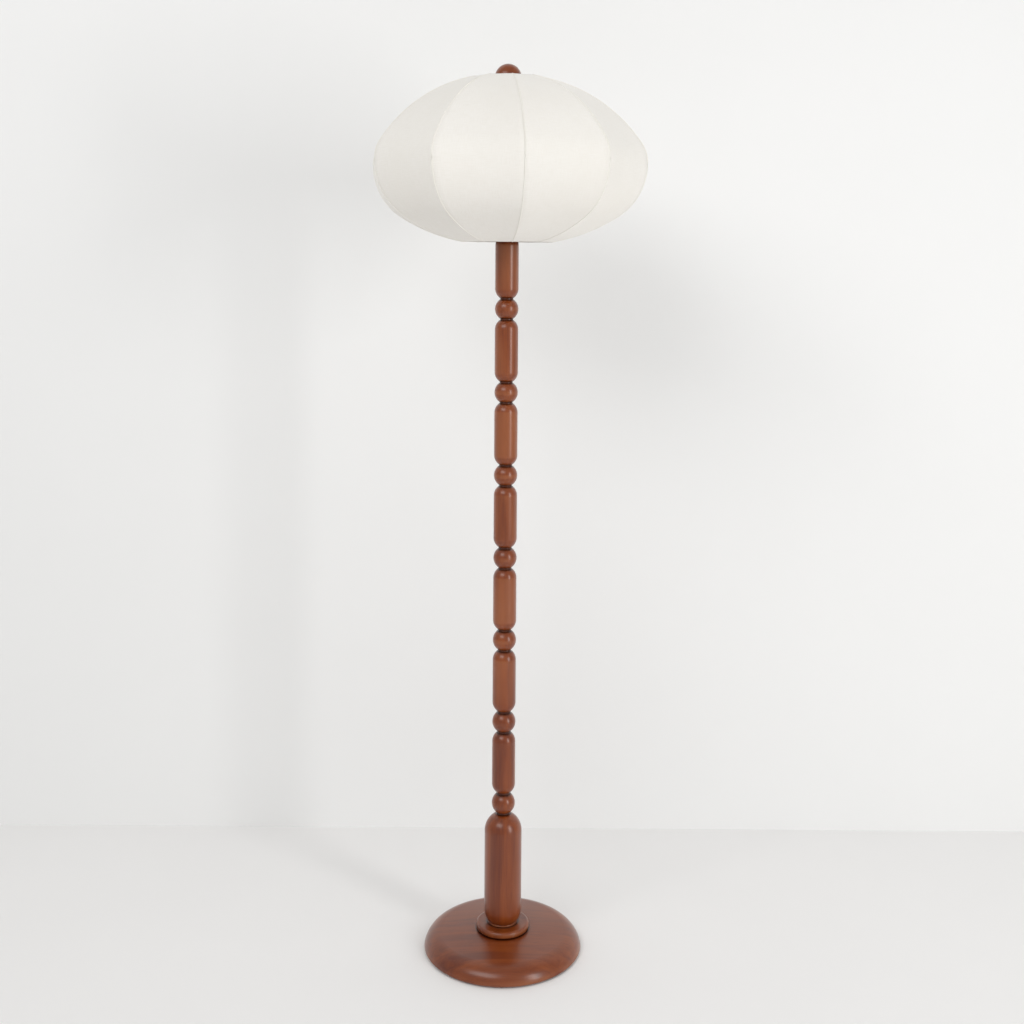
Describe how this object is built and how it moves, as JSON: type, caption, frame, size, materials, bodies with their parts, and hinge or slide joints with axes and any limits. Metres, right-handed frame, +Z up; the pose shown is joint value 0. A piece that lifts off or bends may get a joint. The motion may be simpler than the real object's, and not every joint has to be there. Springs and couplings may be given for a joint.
{
  "type": "floor lamp",
  "caption": "Floor lamp with a turned wooden stem of beads and capsules, a round domed base, a ribbed mushroom-shaped fabric shade and a ball finial.",
  "frame": {"origin": "on the floor under the centre of the round base", "axes": "+Z up along the stem; the front faces -Y and the cord inlet is at the back, +Y"},
  "size_m": [0.4648, 0.4708, 1.5198],
  "materials": {
    "walnut_wood": "walnut-stained turned hardwood, satin lacquer",
    "zinc_steel": "zinc-plated steel",
    "brass": "satin brass",
    "nickel": "plain metal",
    "cast_iron": "black-coated cast iron",
    "black_board": "black fibre board",
    "rubber": "soft rubber",
    "black_plastic": "black phenolic",
    "white_plastic": "white moulded plastic",
    "fibre_paper": "varnished fibre paper",
    "opal_glass": "opal white glass",
    "cream_fabric": "fine stretched off-white fabric",
    "white_wire": "white-coated steel wire"
  },
  "bodies": {
    "stand": {"base_collar": "walnut_wood", "base_cover": "black_board", "base_disc": "walnut_wood", "base_nut": "zinc_steel", "base_pads": "rubber", "base_washer": "zinc_steel", "bead_1": "walnut_wood", "bead_2": "walnut_wood", "bead_3": "walnut_wood", "bead_4": "walnut_wood", "bead_5": "walnut_wood", "bead_6": "walnut_wood", "bead_7": "walnut_wood", "centre_contact": "brass", "column_foot": "walnut_wood", "cord_bushing": "black_plastic", "cover_screws": "zinc_steel", "foot_ring": "walnut_wood", "harp": "brass", "harp_saddle": "brass", "neck_discs": "walnut_wood", "pipe_couplings": "zinc_steel", "pipe_lower": "zinc_steel", "pipe_middle": "zinc_steel", "pipe_upper": "zinc_steel", "screw_shell": "brass", "socket_body": "black_plastic", "socket_cap": "brass", "socket_liner": "fibre_paper", "socket_shell": "brass", "spindle_1": "walnut_wood", "spindle_2": "walnut_wood", "spindle_3": "walnut_wood", "spindle_4": "walnut_wood", "spindle_5": "walnut_wood", "spindle_6": "walnut_wood", "spindle_7": "walnut_wood", "stem_cap": "brass", "terminal_screws": "brass", "top_nut": "zinc_steel", "weight_plate": "cast_iron"},
    "stud": {"harp_stud": "brass"},
    "shade": {"shade_fabric": "cream_fabric", "shade_ribs": "white_wire", "shade_top_ring": "white_wire", "shade_bottom_ring": "white_wire", "shade_hub": "brass", "shade_arms": "white_wire"},
    "finial_seat": {"finial_washer": "brass"},
    "finial": {"finial_ball": "walnut_wood", "finial_insert": "brass"},
    "bulb_seat": {"bulb_tip": "brass"},
    "bulb": {"bulb_cap": "nickel", "bulb_glass": "opal_glass", "bulb_filament": "white_plastic"},
    "switch": {"switch_shaft": "brass", "switch_knob": "black_plastic"},
    "left_sleeve": {"harp_sleeve_left": "brass"},
    "right_sleeve": {"harp_sleeve_right": "brass"}
  },
  "joints": [
    {"name": "shade_swivel", "type": "hinge", "parent": "stand", "child": "stud", "pos_m": [0, 0, 1.4692], "axis": [0, 0, 1], "continuous": true},
    {"name": "shade_lift", "type": "slide", "parent": "stud", "child": "shade", "axis": [0, 0, 1], "range_m": [0, 0.275]},
    {"name": "finial_rise", "type": "slide", "parent": "shade", "child": "finial_seat", "axis": [0, 0, 1], "range_m": [0, 0.008]},
    {"name": "finial_turn", "type": "hinge", "parent": "finial_seat", "child": "finial", "pos_m": [0, 0, 1.4757], "axis": [0, 0, 1], "range_deg": [0, 3060]},
    {"name": "bulb_rise", "type": "slide", "parent": "stand", "child": "bulb_seat", "axis": [0, 0, 1], "range_m": [0, 0.01634]},
    {"name": "bulb_turn", "type": "hinge", "parent": "bulb_seat", "child": "bulb", "pos_m": [0, 0, 1.2751], "axis": [0, 0, 1], "range_deg": [0, 1620]},
    {"name": "switch_turn", "type": "hinge", "parent": "stand", "child": "switch", "pos_m": [0, -0.016, 1.25859], "axis": [0, -1, 0], "continuous": true},
    {"name": "left_sleeve_lift", "type": "slide", "parent": "stand", "child": "left_sleeve", "axis": [0, 0, 1], "range_m": [0, 0.014]},
    {"name": "right_sleeve_lift", "type": "slide", "parent": "stand", "child": "right_sleeve", "axis": [0, 0, 1], "range_m": [0, 0.014]}
  ],
  "couplings": [
    {"joint": "finial_rise", "follows": "finial_turn", "m_per_rad": 0.00014961},
    {"joint": "bulb_rise", "follows": "bulb_turn", "m_per_rad": 0.00057773}
  ]
}
